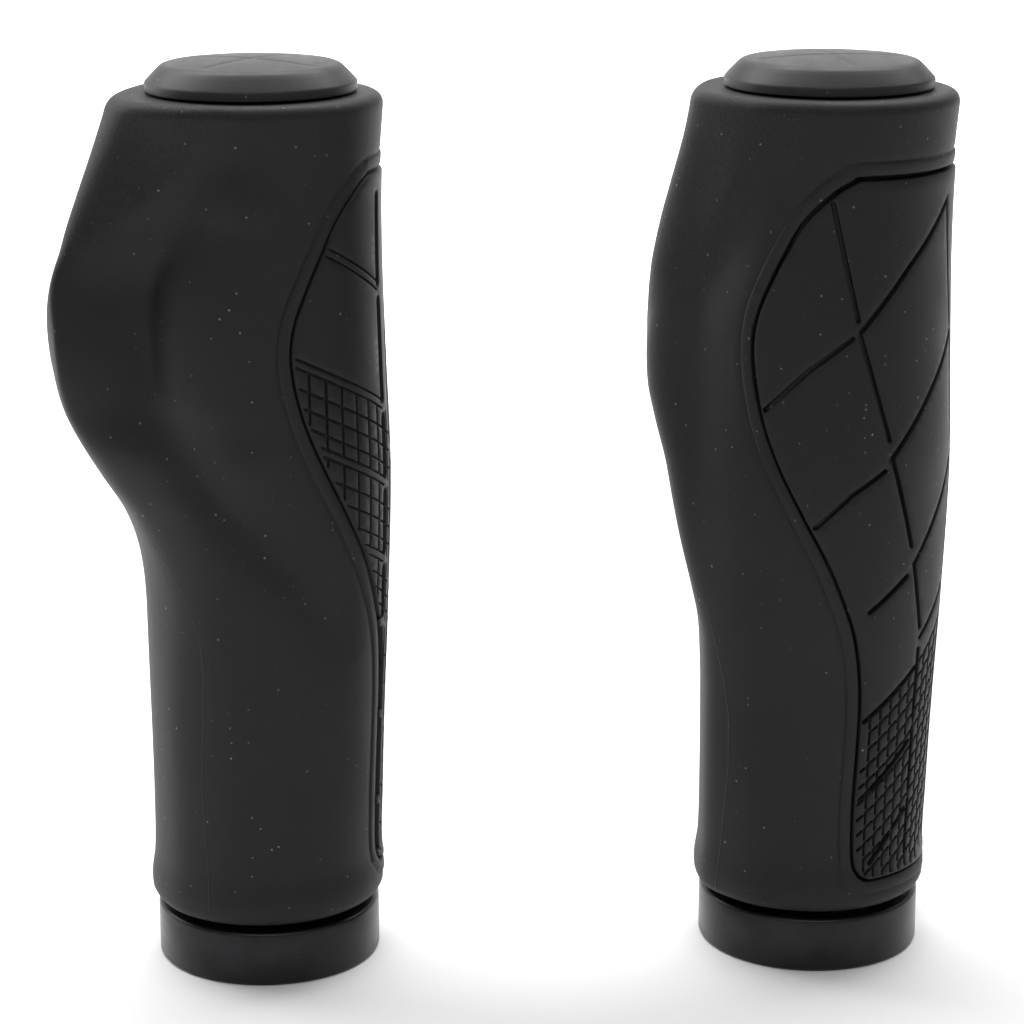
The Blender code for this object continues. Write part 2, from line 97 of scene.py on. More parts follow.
# Height and half width of the tread pad, which is centred opposite the wing. Its lower corners are
# rounder than the CAD's.
PAD = (
    (13.8, 24), (14.1, 27), (14.7, 29.5), (16, 32), (19, 33.2), (26, 33.5), (34, 32.5), (42, 32.5),
    (50, 36), (56, 42.5), (62, 51), (68, 61.5), (76, 75), (83, 84), (90, 88.5), (95, 87), (100, 80.5),
    (105, 72), (109, 64), (113, 50), (114.6, 40),
)
PAD_BOTTOM = PAD[0][0]
PAD_TOP = PAD[-1][0]
PAD_RISE = 0.4
PAD_DEPTH = 1.2
PAD_CENTRE = 180.0
UNROLL = 17.4  # radius on which the pad's pattern is laid out flat
OUTLINE_STEP = 0.06  # spacing of the points that distances are measured from
SLOPE_STEP = 0.25  # half the height over which the outline's slope is taken
STEEPEST = 1.9
BORDER_REACH = 6.0  # past this distance the border no longer matters

# Distance from the pad's outline and height of the body's surface there: recess, wall, border rib
# and the fine line outside it.
BORDER = (
    (0.30, -1.5), (0.33, -0.14), (0.38, 0.05), (0.50, 0.12), (1.2, 0.17), (1.75, 0.15), (1.95, 0.10),
    (2.05, -0.02), (2.14, -0.14), (2.26, -0.13), (2.50, -0.05), (2.90, -0.01), (3.4, 0.0),
)
ROW_STEP = 0.42  # spacing of the body's rows
FLANK_COLUMNS = 130  # columns from the pad's border to the wing's rim
HIDDEN_COLUMNS = 14  # and from the border to the middle of the recess
CROWDING = 0.35  # how much closer the columns are at the border
BOTTOM_ARC = (0.0, 75.0, 6)  # first and last degree and rows of the rounding at the bottom
TOP_ARC = (12.0, 90.0, 8)

# Soft valleys beside the wing and the low ridges along them: height, degrees from the wing and
# depth.
UPPER_VALLEY = (
    (46, 122, 0), (54, 105, 0.7), (60.2, 93, 1), (65.2, 77, 1.2), (68.8, 65.5, 1.3), (77, 40, 1.3),
    (80.2, 27, 1.15), (84, 19, 1), (95, 16, 1), (103.3, 20, 1.4), (110.6, 38, 1.5), (118.5, 56.5, 1.1),
    (124.5, 66, 0.3),
)
UPPER_RIDGE = (
    (84, -16, 0), (90, -6, -0.4), (95, 0, -0.6), (102, 8, -0.7), (109, 21, -0.7), (115, 39, -0.6),
    (121, 58, 0),
)
LOWER_VALLEY = (
    (82, -28, 0), (89, -31, 0.4), (96, -43, 0.8), (102, -67, 1), (108.7, -85, 1), (115, -98, 0.8),
    (123, -111, 0.2),
)
LOWER_RIDGE = ((92, -26, 0), (99, -42, -0.2), (105, -63, -0.35), (111, -78, -0.3), (120, -93, 0))
# Each with its width on the left and on the right of its path, going up it.
VALLEYS = ((UPPER_VALLEY, 3.8, 5.2), (UPPER_RIDGE, 2, 2), (LOWER_VALLEY, 5.5, 3), (LOWER_RIDGE, 2.4, 2.4))
VALLEY_STEPS = 240
WIDTH_CHANGE = 1.5  # distance to each side over which one width becomes the other

# Edge of the coarse grain on the wing's back, and of the painted glancing highlight there: height and
# degrees from the wing, each side.
UPPER_COARSE_AND_SHEEN = ((84, -22), (90, -10), (95, 0), (102, 8), (109, 21), (115, 39), (119, 54), (125, 72))
LOWER_COARSE_AND_SHEEN = ((84, -22), (93, -35), (100, -66), (108, -88), (118, -110), (125, -122))

# Mould parting lines: height and degrees from the wing, on the upper and on the lower side.
UPPER_SEAM = (
    (9, 46), (29, 42), (47, 46), (52, 44), (57, 37), (61, 27), (65, 10), (70, -4), (80, -11), (98, -12),
    (125, -12),
)
LOWER_SEAM = (
    (9, -74), (18, -76), (29, -80), (37, -80), (42, -77), (52, -67), (59, -50), (68, -38), (78, -34),
    (86, -26), (95, -22), (125, -22),
)

# The tread's long grooves: width, depth and the points that each runs through, as degrees from the
# wing and height. The last five run down beside the ribs and small blocks.
LONG_GROOVES = (
    (0.72, 0.75, ((233, 111.9), (220, 95.4))),
    (0.72, 0.75, ((219, 93.4), (204.2, 78.6))),
    (0.72, 0.75, ((202.6, 76), (190, 63))),
    (0.75, 0.75, ((187.5, 60.3), (180.2, 50.5))),
    (0.75, 0.75, ((262, 82.2), (241, 88.6), (222.4, 93))),
    (0.72, 0.75, ((236.5, 66.6), (221, 71.3), (206, 74.4))),
    (0.80, 0.75, ((210.5, 54.2), (191.5, 58.7))),
    (0.80, 0.75, ((210.5, 38), (181.8, 44.6))),
    (0.80, 0.75, ((211, 26.2), (183, 33.6))),
    (0.80, 0.75, ((204, 16.3), (183, 23.4))),
    (0.80, 0.75, ((218.4, 94), (195, 102.3), (168, 110.2))),
    (0.80, 0.75, ((203.2, 75.9), (180, 84.4), (157.6, 91.8))),
    (0.72, 0.75, ((187.6, 60.2), (165, 69.8), (157, 73.4))),
    (0.72, 0.75, ((179.6, 48.9), (163, 53.4), (157, 55.2))),
    (0.80, 0.75, ((180, 47.2), (180, 37))),
    (0.80, 0.75, ((180, 35.4), (180, 26))),
    (0.80, 0.75, ((180, 24.4), (180, 16.4))),
    (0.60, 0.60, ((167, 110.8), (158, 92.6))),
    (0.60, 0.60, ((157, 91), (155.6, 76))),
    (0.60, 0.60, ((155, 74.4), (155, 56.4))),
    (0.60, 0.60, ((155, 54.4), (155, 35))),
    (0.60, 0.60, ((155, 33.6), (155, 16.4))),
)
THIN_WIDTH = 0.36  # grooves between the small blocks
THIN_DEPTH = 0.42
GROOVE_WALL = 0.13  # width of a groove's sloping side
GROOVE_LIP = 0.10  # width of the rounding along its edge
LIP_DROP = 0.05
GROOVE_STEP = 1.2  # spacing of points along a groove
GROOVE_MARGIN = 0.5  # how far inside the pad's edge a groove ends
CUT_STEP = 0.15  # spacing of the places where a groove may be cut off
FEWEST = 6  # with fewer such places on the pad a groove is left out
ROUND_END = (36.0, 72.0, 108.0, 144.0)  # degrees round a groove's end
ON_PATH = 1e-6
SHORTEST = 0.1  # shortest run of a groove's path
REACH = 2.0  # past this distance a groove no longer matters
FAR = 1e9

# Bands of small blocks on the upper side: the ribs between them, as degrees and height.
RIBS = (
    ((104, 105.9), (145, 98.9)), ((92.5, 90.5), (145, 82.3)), ((104, 77.9), (145, 71.3)),
    ((116.5, 64.6), (145, 60.2)), ((131, 53.9), (145, 51)),
)
RIB_WIDTH = 1.2
LOWER_BANDS = (14.0, 13.0, 9.0)  # heights of the bands below the last rib
FIRST_BLOCKS = 1  # the first rib with small blocks below it
BLOCK_ROWS = (0.31, 0.54, 0.77)  # rows of a band, as shares of its height
UPPER_COLUMNS = (98.5, 106.8, 115.2, 123.8, 132.0, 139.6, 150.6)
COLUMN_EXTRA = 0.08  # how much wider the grooves down a band are
UPPER_LIMITS = (92.0, 153.5)  # degrees where the bands start and end

# Small blocks on the lower side, cut by short hooked grooves.
HOOK_COLUMN = 5.5  # degrees
HOOK_COLUMNS = (-5, 6)  # first and last, counted from the pad's middle
HOOK_TOP = 45.0  # height of the first row at the pad's middle
HOOK_ROW = 2.40
HOOK_ROWS = 14
HOOK_SLOPE = -0.235  # height for each degree
HOOK_SPARE = 0.30  # share of a side that is left uncut
HOOK_WIDTH = 0.46
HOOK_DEPTH = 0.5

MAIN_GROOVE = 146.6  # the groove that runs down the upper side, bridged at each rib
MAIN_BESIDE = (2.0, 2.6)  # degrees that rows of blocks keep from its middle, each side
MAIN_WIDTH = 1.5
GAP_WIDTH = 1.1  # width of the gap beside the pad that takes over from it lower down
MAIN_DEPTH = 0.9
MAIN_BRIDGES = (112.5, 98.0, 81.6, 70.8, 59.8, 50.6, 36.6, 23.6, 15.2)
BRIDGE = 1.1
BRIDGE_SIDE = 0.15  # width of a bridge's sloping side
MAIN_LOWEST = 5  # below this bridge the groove is the gap beside the pad
NARROWING = (50.0, 53.0)  # heights between which the gap fades out

# Clamp ring and bolt. Their main sizes are the CAD's; the eased edges and the thread are not in it.
BAR_RADIUS = 11.15
BORE_CHAMFER = 0.2
RING_RADIUS = 16.0
RING_HEIGHT = 8.0
RING_CHAMFER = 0.5
RING_EASE = 0.12  # how far the chamfer's middle is inside the ring's wall
RING_EASE_LEVELS = (0.30, 0.22)  # and how far it is from the bottom and the top
RING_STEPS = 144
SLIT_WIDTH = 1.6
LUG = ((12.75, -7.0, 0.5), (17.2, 7.6, 7.5))  # opposite corners, beside the slit
LUG_ROUND = 1.2
TAB_SLOT = (5.6, 13.1)  # width and reach of the slots for the sleeve's tabs
TAB_SLOT_BOTTOM = 3.7
TAB_OFFSET = 45.0
CUT_PAST = 1.0  # how far cuts run past what they cut
HOLE_PAST = 4.0  # past the bolt's end
SEAT_PAST = 8.0  # past the lug's face
HOLE_STEPS = 48
EDGE_BEVEL = 0.12
EDGE_ANGLE = 50.0  # only edges sharper than this are bevelled
BEVEL_SEGMENTS = 2
LUG_SEGMENTS = 4
SMOOTH_ANGLE = 40.0
BOLT_RADIUS = 1.5
BOLT_HOLE = 1.7
BOLT_OFFSET = 14.0
BOLT_HEIGHT = 3.6
BOLT_END = -5.5
UNDER_HEAD = 7.9
HEAD_RADIUS = 2.75
HEAD_SEAT = 3.05
HEAD_LENGTH = 3.0
HEAD_FOOT = ((0.12, 0.0), (0.0, 0.12))  # inset and height up the head's wall
HEAD_RIM = ((0.0, 0.35), (0.1, 0.14), (0.32, 0.0))  # inset and depth below its top
HEX_ACROSS = 2.5
HEX_DEPTH = 1.6
HEX_CHAMFER = (0.14, 0.12)  # width and depth
HEX_CONE = 0.35  # depth of the socket's conical floor
CENTRE_RADIUS = 0.3  # radius of the flat in the middle of a turned end
THREAD_PITCH = 0.5
THREAD_DEPTH = 0.27
THREAD_STEP = 0.08
THREAD_START = 0.3  # height of the first row above the tip
THREAD_END = -0.6  # and of the last below the head
THREAD_GROWTH = 0.8  # length over which the thread grows from the tip
TIP_CHAMFER = 0.4
SHANK_INSET = 0.05
SHANK_FOOT = -0.5
BOLT_STEPS = 60

# End cap. Its dome is lower than the CAD's.
CAP_OUTLINE = (  # radius and height up the outside from the spigot
    (12.2, 124.8), (12.2, 125.1), (14.38, 125.1), (14.5, 125.2), (14.5, 126.1), (14.45, 126.3),
    (14.30, 126.48), (13.7, 127.12), (13.1, 127.74), (12.6, 128.24), (12.25, 128.50), (11.8, 128.68),
)
CAP_CROWN = 129.3
CAP_STEP = 0.35  # spacing of the dome's rings
CAP_MIDDLE = 0.2  # radius of the flat in its middle, at least
CAP_STEPS = 168
ABOVE_RIM = 0.001  # points higher than this above the rim are on the dome
CREASES = (38.0, 128.0)  # directions of the two shallow creases across the cap
CREASE_WIDTH = 0.75
CREASE_DEPTH = 0.13
CREASE_FADE = (2.5, 0.5)  # distances inside the rim over which they fade out
STEM_RADIUS = 8.0
STEM_RIB = 9.2
STEM_HOLLOW = 6.0
STEM_BOTTOM = 99.0
STEM_EASE = 0.3
STEM_CHAMFER = 0.5
STEM_RIBS = 4
STEM_RIB_DROP = 1.6
STEM_RIB_OUTLINE = (  # radius and height above the rib's foot
    (STEM_RADIUS, 0.0), (STEM_RIB - 0.08, 1.15), (STEM_RIB, 1.3), (STEM_RIB, 1.9),
    (STEM_RIB - 0.08, 2.0), (STEM_RADIUS, 2.6),
)

# The tread's mesh.
EDGE_INSETS = ((78.0, 0.0), (86.0, 0.3))  # height and how far the pad's lower side is drawn in
UPPER_SPREAD = 0.14  # how far its upper side is spread
EDGE_LOOPS = ((0.0, 0.30), (0.10, 0.10), (0.32, 0.0))  # distance inside the edge and drop there
EDGE_STEP = 0.7  # spacing of the points up the edge
EDGE_NEAREST = 0.04  # no two of them are closer than this
FACET = (1.15, 1.3)  # spacing of the plain surface's points, round and up
FROM_GROOVE = 0.32  # they keep this far from a groove
FROM_EDGE = 0.7  # and this far inside the edge
MERGED = 1e-5  # places closer than this become one


def station(table, height):
    """The table's values at heights, on smooth curves through its rows."""
    rows = np.array(table)
    knots = rows[:, 0]
    height = np.asarray(height, float)
    low = np.clip(np.searchsorted(knots, height, side="right") - 1, 0, len(knots) - 2)
    high, before = low + 1, np.maximum(low - 1, 0)
    after = np.minimum(low + 2, len(knots) - 1)
    span = knots[high] - knots[low]
    t = np.clip((height - knots[low]) / span, 0.0, 1.0)
    values = []
    for column in rows.T[1:]:
        start = (column[high] - column[before]) / (knots[high] - knots[before]) * span
        end = (column[after] - column[low]) / (knots[after] - knots[low]) * span
        values.append(column[low] * (2 * t**3 - 3 * t**2 + 1) + start * (t**3 - 2 * t**2 + t)
                      + column[high] * (3 * t**2 - 2 * t**3) + end * (t**3 - t**2))
    return values


def along(table, height):
    """The second column of a table at heights, on straight lines."""
    rows = np.array(table)
    return np.interp(height, rows[:, 0], rows[:, 1])


def wrapped(angle):
    """The same angle between -pi and pi."""
    return (angle + np.pi) % (2 * np.pi) - np.pi


def polar(radius, angle, height):
    """Points round the axis."""
    x, y = radius * np.cos(angle), radius * np.sin(angle)
    return np.column_stack(np.broadcast_arrays(x, y, height))


def barrel_radius(angle, height):
    """Radius of the barrel; angle is in radians from the wing."""
    towards_wing, towards_pad = station(BARREL, height)
    off = wrapped(angle - np.radians(SHOULDER_PLACE))
    shoulder = station(SHOULDER, height)[0] * np.exp(-(off / np.radians(SHOULDER_WIDTH))**2)
    return towards_wing + (towards_pad - towards_wing) * (1 - np.cos(angle)) / 2 + shoulder


def wing_radius(angle, height):
    """Radius of the wing: an end, a corner and two flanks, with roundings between them."""
    upper_facing, upper, end, corner, lower = station(WING, height)
    total = 0.0
    for facing, distance, past in ((upper_facing, upper, 1), (END_FACING, end, 0),
                                   (CORNER_FACING, corner, 0), (LOWER_FACING, lower, -1)):
        off = wrapped(angle - np.radians(facing))
        limit = np.minimum(np.abs(off), np.radians(PAST_FLANK))
        share = np.where(off * past > 0, 1 / np.cos(limit), np.maximum(np.cos(off), 0.0))
        total = total + (share / distance)**SHARPNESS
    return total**(-1 / SHARPNESS)


def body_radius(angle, height):
    """Radius of the rubber body: the barrel and the wing, blended where they meet."""
    barrel, wing = barrel_radius(angle, height), wing_radius(angle, height)
    upper, lower = station(BLENDS, height)
    width = np.where(np.sin(angle - np.radians(BLEND_SPLIT)) > 0, upper, lower)
    blend = np.maximum(width - np.abs(barrel - wing), 0.0) / width
    return np.maximum(barrel, wing) + blend**2 * width / 4


def pad_half(height):
    """Half the pad's width in radians."""
    return np.radians(station(PAD, height)[0])


def outline_slope(height):
    """How much longer a step round the barrel is than its distance from the pad's side."""
    height = np.clip(height, PAD_BOTTOM + SLOPE_STEP, PAD_TOP - SLOPE_STEP)
    change = pad_half(height + SLOPE_STEP) - pad_half(height - SLOPE_STEP)
    run = change / (2 * SLOPE_STEP) * UNROLL
    return np.minimum(np.sqrt(1 + run**2), STEEPEST)


def half_outline():
    """Flat places close together along one side of the pad's outline and its two ends."""
    heights = np.arange(PAD_BOTTOM, PAD_TOP + OUTLINE_STEP / 2, OUTLINE_STEP)
    side = np.column_stack((pad_half(heights) * UNROLL, heights))
    ends = []
    for width, height in (side[0], side[-1]):
        across = np.arange(0.0, width, OUTLINE_STEP)
        ends.append(np.column_stack((across, np.full(len(across), height))))
    return np.concatenate((ends[0], side, ends[1]))


OUTLINE = half_outline()


def outline_distance(angle, height):
    """Distance from the pad's outline, positive outside it, round the body at one height."""
    across = np.abs(angle - np.pi) * UNROLL
    near = OUTLINE[np.abs(OUTLINE[:, 1] - height) < BORDER_REACH]
    if len(near) == 0:
        return np.full(len(angle), BORDER_REACH)
    distance = np.hypot(across[:, None] - near[:, 0], height - near[:, 1]).min(axis=1)
    inside = (across < pad_half(height) * UNROLL) & (PAD_BOTTOM < height < PAD_TOP)
    return np.where(inside, -distance, np.minimum(distance, BORDER_REACH))


class Grip:
    """Places pieces on one grip's axis and ties them to its bodies."""

    def __init__(self, side):
        self.side = side
        low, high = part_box(f"{side}_end_cap")
        self.axis = Vector(((low.x + high.x) / 2, (low.y + high.y) / 2, 0.0))
        self.turn = math.radians(WING_TURN[side])
        self.hand = HAND[side]

    def world(self, points):
        """World places in metres of local points in millimetres."""
        local = np.asarray(points, float) * MM
        x, y = local[:, 0], local[:, 1] * self.hand
        c, s = math.cos(self.turn), math.sin(self.turn)
        return np.column_stack((self.axis.x + x * c - y * s, self.axis.y + x * s + y * c, local[:, 2]))

    def piece(self, name, body, slot, points, faces, look, nodes, sharp=SMOOTH_ANGLE):
        """A mesh piece from local points, set on the grip and tied to a CAD body."""
        mesh = bpy.data.meshes.new(f"{self.side}_{name}")
        faces = [face if self.hand > 0 else face[::-1] for face in faces]
        mesh.from_pydata(self.world(points).tolist(), [], faces)
        mesh.validate()
        made = bpy.data.objects.new(f"{self.side}_{name}", mesh)
        bpy.context.scene.collection.objects.link(made)
        mesh.materials.append(look)
        mesh.shade_smooth()
        mesh.set_sharp_from_angle(angle=math.radians(sharp))
        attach(made, f"{self.side}_{body}")
        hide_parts(*[f"{self.side}_{node}" for node in nodes])
        return made


def put_values(made, name, values):
    """Stores a number for each point of a piece, for its material to read."""
    layer = made.data.attributes.new(name, "FLOAT", "POINT")
    layer.data.foreach_set("value", np.asarray(values, np.float32))


def grid_faces(rows, columns, close_rows=False):
    """Quads through a grid of points that is closed round its columns."""
    faces = []
    for row in range(rows if close_rows else rows - 1):
        base, above = row * columns, (row + 1) % rows * columns
        for i in range(columns):
            j = (i + 1) % columns
            faces.append((base + i, base + j, above + j, above + i))
    return faces


def body_rows():
    """Height and inset of each ring of points up the body's outside."""
    border = np.array([distance for distance, _ in BORDER])
    straight_low, straight_high = BODY_BOTTOM + BOTTOM_ROUND, BODY_TOP - TOP_ROUND
    even = np.arange(straight_low, straight_high, ROW_STEP)
    ends = np.concatenate((PAD_BOTTOM - border, PAD_TOP + border))
    near = np.min(np.abs(even[:, None] - ends[None, :]), axis=1) < ROW_STEP / 2
    heights = np.sort(np.concatenate((even[~near], ends, [straight_high])))
    rows = []
    for t in np.radians(np.linspace(*BOTTOM_ARC)):
        rows.append((BODY_BOTTOM + BOTTOM_ROUND * (1 - math.cos(t)), BOTTOM_ROUND * (1 - math.sin(t))))
    rows += [(height, 0.0) for height in heights]
    for t in np.radians(np.linspace(*TOP_ARC)):
        rows.append((BODY_TOP - TOP_ROUND * (1 - math.sin(t)), TOP_ROUND * (1 - math.cos(t))))
    return np.array(rows)


def body_columns(height):
    """Angles round the body at a height: close together at the pad's border and at the wing."""
    border = np.array([distance for distance, _ in BORDER])
    edge = pad_half(height)
    hidden = edge * np.linspace(0.0, 1.0, HIDDEN_COLUMNS, endpoint=False)
    beside = edge + border * outline_slope(height) / UNROLL
    even = np.linspace(0.0, 1.0, FLANK_COLUMNS)[1:]
    even = even + CROWDING * np.sin(np.pi * even) / np.pi
    flank = beside[-1] + (np.pi - beside[-1]) * even
    half = np.concatenate((hidden, beside, flank))
    return np.concatenate((np.pi + half[:-1], np.pi - half[:0:-1]))


def between_lines(upper, lower, angle, height):
    """How far angles are inside two lines round the body, in radians."""
    degrees = np.degrees(wrapped(angle))
    return np.radians(np.minimum(along(upper, height) - degrees, degrees - along(lower, height)))


def seam_distance(angle, height):
    """Distance from the parting lines, positive on the wing's back."""
    return between_lines(UPPER_SEAM, LOWER_SEAM, angle, height) * body_radius(angle, height)


def coarse_and_sheen_distance(angle, height):
    """Distance inside the edge of the coarse grain and its painted glancing highlight."""
    return between_lines(UPPER_COARSE_AND_SHEEN, LOWER_COARSE_AND_SHEEN, angle, height) * BARREL[0][1]


def valley_depth(angle, height):
    """Depth of the soft valleys beside the wing, less the ridges."""
    depth = np.zeros(len(angle))
    for valley, left_width, right_width in VALLEYS:
        rows = np.array(valley)
        heights = np.linspace(rows[0, 0], rows[-1, 0], VALLEY_STEPS)
        places = np.radians(np.interp(heights, rows[:, 0], rows[:, 1]))
        deep = np.interp(heights, rows[:, 0], rows[:, 2])
        across = (wrapped(angle)[:, None] - places) * UNROLL
        above = height[:, None] - heights
        apart = np.hypot(across, above)
        near = np.arange(len(angle)), np.argmin(apart, axis=1)
        run, rise = np.gradient(places * UNROLL)[near[1]], heights[1] - heights[0]
        left = (run * above[near] - rise * across[near]) / np.hypot(run, rise)
        share = smooth_step(left, -WIDTH_CHANGE, WIDTH_CHANGE)
        width = right_width + (left_width - right_width) * share
        depth += deep[near[1]] * np.exp(-(apart[near] / width)**2)
    return depth


def grip_body(grip, look):
    """Rubber body with its wing, the recess for the pad and the rib round it."""
    border = np.array(BORDER)
    points, seam, coarse = [], [], []
    bore = [(BODY_TOP, None), (BODY_BOTTOM, None)]
    for height, inset in [*body_rows(), *bore]:
        angle = body_columns(height)
        level = np.full(len(angle), height)
        radius = BORE_RADIUS
        if inset is not None:
            relief = np.interp(outline_distance(angle, height), border[:, 0], border[:, 1])
            radius = body_radius(angle, level) - inset + relief - valley_depth(angle, level)
        points.append(polar(radius, angle, level))
        seam.append(seam_distance(angle, level))
        coarse.append(coarse_and_sheen_distance(angle, level))
    faces = grid_faces(len(points), len(angle), close_rows=True)
    made = grip.piece("rubber_body", "grip", "grip_rubber", np.concatenate(points), faces, look,
                      ["grip_body"], sharp=50.0)
    put_values(made, "seam", np.concatenate(seam))
    # The coarse values also place the painted glancing highlight on the wing's back.
    put_values(made, "coarse", np.concatenate(coarse))


def smooth_step(value, low, high):
    t = np.clip((np.asarray(value, float) - low) / (high - low), 0.0, 1.0)
    return t * t * (3 - 2 * t)


def pad_sides(height):
    """Flat places of the pad's upper and lower side edge at heights."""
    height = np.asarray(height, float)
    (thin_height, thin), (wide_height, wide) = EDGE_INSETS
    inset = thin + (wide - thin) * smooth_step(height, thin_height, wide_height)
    bridges = np.array(MAIN_BRIDGES[MAIN_LOWEST:])
    nearest = np.min(np.abs(height[..., None] - bridges), axis=-1)
    off_bridge = smooth_step(nearest, BRIDGE / 2, BRIDGE / 2 + BRIDGE_SIDE)
    channel = (1 - smooth_step(height, *NARROWING)) * off_bridge
    half, slope = pad_half(height) * UNROLL, outline_slope(height)
    upper = -half - UPPER_SPREAD * slope + channel * GAP_WIDTH
    return upper, half - inset * slope


def edge_distance(places):
    """How far inside the pad's edge flat places are."""
    across, height = places[:, 0], places[:, 1]
    upper, lower = pad_sides(height)
    beside = np.minimum(across - upper, lower - across) / outline_slope(height)
    ends = np.minimum(PAD_TOP - EDGE_INSETS[1][1] - height, height - PAD_BOTTOM - EDGE_INSETS[0][1])
    return np.minimum(beside, ends)


def pad_outline(inside):
    """The pad's outline as a closed line of flat places, a distance inside its edge."""
    bottom = PAD_BOTTOM + EDGE_INSETS[0][1] + inside
    top = PAD_TOP - EDGE_INSETS[1][1] - inside
    bridges = np.array(MAIN_BRIDGES[MAIN_LOWEST:])[:, None]
    reaches = np.array([BRIDGE / 2, BRIDGE / 2 + BRIDGE_SIDE])
    corners = (bridges + np.concatenate((-reaches, reaches))).ravel()
    heights = np.sort(np.concatenate((np.arange(bottom, top, EDGE_STEP), corners, [top])))
    heights = heights[(heights >= bottom) & (heights <= top)]
    heights = heights[np.concatenate(([True], np.diff(heights) > EDGE_NEAREST))]
    upper, lower = pad_sides(heights)
    slope = outline_slope(heights)
    up = np.column_stack((lower - inside * slope, heights))
    down = np.column_stack((upper + inside * slope, heights))[::-1]
    return np.concatenate((up, between(up[-1], down[0]), down, between(down[-1], up[0])))


def between(start, end):
    """Places on the straight line between two others, without its ends."""
    count = int(np.linalg.norm(end - start) / GROOVE_STEP) + 1
    return start + (end - start) * np.linspace(0, 1, count + 1)[1:-1, None]


def flat(path):
    """Flat places of points given as degrees from the wing and height."""
    rows = np.array(path, float)
    return np.column_stack((np.radians(rows[:, 0] - PAD_CENTRE) * UNROLL, rows[:, 1]))


def resampled(path, step=GROOVE_STEP):
    """A path with its corners kept and its runs cut into even steps."""
    rows = [path[:1]]
    for start, end in zip(path, path[1:]):
        count = int(np.linalg.norm(end - start) / step) + 2
        rows.append(start + (end - start) * np.linspace(0, 1, count)[1:, None])
    return np.concatenate(rows)


def clipped(path):
    """The stretch of a flat path that is on the pad, clear of its edge; None if it's short."""
    fine = resampled(path, CUT_STEP)
    inside = np.flatnonzero(edge_distance(fine) > GROOVE_MARGIN)
    if len(inside) < FEWEST:
        return None
    kept = fine[inside[0]:inside[-1] + 1]
    ends = np.array((kept[0], kept[-1]))
    corners = [place for place in path[1:-1] if np.min(np.linalg.norm(kept - place, axis=1)) < ON_PATH
               and np.min(np.linalg.norm(ends - place, axis=1)) > SHORTEST]
    return np.array([kept[0], *corners, kept[-1]])


def contour(path, half):
    """A closed line round a path at a distance, with round ends."""
    run = np.gradient(path, axis=0)
    run /= np.linalg.norm(run, axis=1)[:, None]
    across = np.column_stack((-run[:, 1], run[:, 0])) * half
    cap = np.radians(np.array(ROUND_END))[:, None]
    start = path[0] + across[0] * np.cos(cap) - run[0] * half * np.sin(cap)
    end = path[-1] - across[-1] * np.cos(cap) + run[-1] * half * np.sin(cap)
    return np.concatenate((path - across, end, (path + across)[::-1], start))


def path_distance(places, path):
    """Distance of flat places from a path."""
    nearest = np.full(len(places), FAR)
    for start, end in zip(path, path[1:]):
        run = end - start
        t = np.clip((places - start) @ run / (run @ run), 0.0, 1.0)
        nearest = np.minimum(nearest, np.linalg.norm(places - start - t[:, None] * run, axis=1))
    return nearest


def upper_grooves():
    """Grooves round the ribs and small blocks on the pad's upper side."""
    made = []
    ribs = [np.array(rib) for rib in RIBS]

    def rib_height(rib, degrees):
        (a, low), (b, high) = rib
        return low + (high - low) * (degrees - a) / (b - a)

    def row(above, below, share, start, end):
        return flat([(place, rib_height(above, place) * (1 - share) + rib_height(below, place) * share)
                     for place in (start, end)])

    half = RIB_WIDTH / 2
    (first, last), (before, after) = UPPER_LIMITS, MAIN_BESIDE
    spans = ((first, MAIN_GROOVE - before), (MAIN_GROOVE + after, last))
    for rib in ribs:
        (start, low), (end, high) = rib
        for offset in (half, -half):
            made.append((THIN_WIDTH, THIN_DEPTH, flat(((start, low + offset), (end, high + offset)))))
    for band in LOWER_BANDS:
        ribs.append(ribs[-1] - np.array([0.0, band]))
    for above, below in zip(ribs[FIRST_BLOCKS:], ribs[FIRST_BLOCKS + 1:]):
        for share in BLOCK_ROWS:
            for start, end in spans:
                made.append((THIN_WIDTH, THIN_DEPTH, row(above, below, share, start, end)))
        for column in UPPER_COLUMNS:
            top, foot = rib_height(above, column) - half, rib_height(below, column) + half
            made.append((THIN_WIDTH + COLUMN_EXTRA, THIN_DEPTH, flat(((column, top), (column, foot)))))
    for above, below in zip(MAIN_BRIDGES, MAIN_BRIDGES[1:MAIN_LOWEST + 1]):
        reach = BRIDGE / 2 + MAIN_WIDTH / 2
        ends = ((MAIN_GROOVE, above - reach), (MAIN_GROOVE, below + reach))
        made.append((MAIN_WIDTH, MAIN_DEPTH, flat(ends)))
    return made


def hook_height(row, degrees):
    return HOOK_TOP - HOOK_ROW * row + HOOK_SLOPE * (degrees - PAD_CENTRE)


def hooked_grooves():
    """Short hooked grooves that cut small blocks into the lower side of the pad."""
    made = []
    for row in range(HOOK_ROWS):
        for column in range(*HOOK_COLUMNS):
            low, high = (PAD_CENTRE + HOOK_COLUMN * k for k in (column, column + 1))
            top = hook_height(row, high)
            stop = low + HOOK_COLUMN * HOOK_SPARE
            hook = ((high, top - HOOK_ROW * (1 - HOOK_SPARE)), (high, top), (stop, hook_height(row, stop)))
            made.append((HOOK_WIDTH, HOOK_DEPTH, flat(hook)))
    return made


def tread_grooves():
    """All of the tread's grooves as width, depth and flat path, cut off at the pad's edge."""
    rough = [(width, depth, flat(path)) for width, depth, path in LONG_GROOVES]
    rough += upper_grooves() + hooked_grooves()
    made = []
    for width, depth, path in rough:
        path = clipped(path)
        if path is not None:
            made.append((width, depth, resampled(path)))
    return made


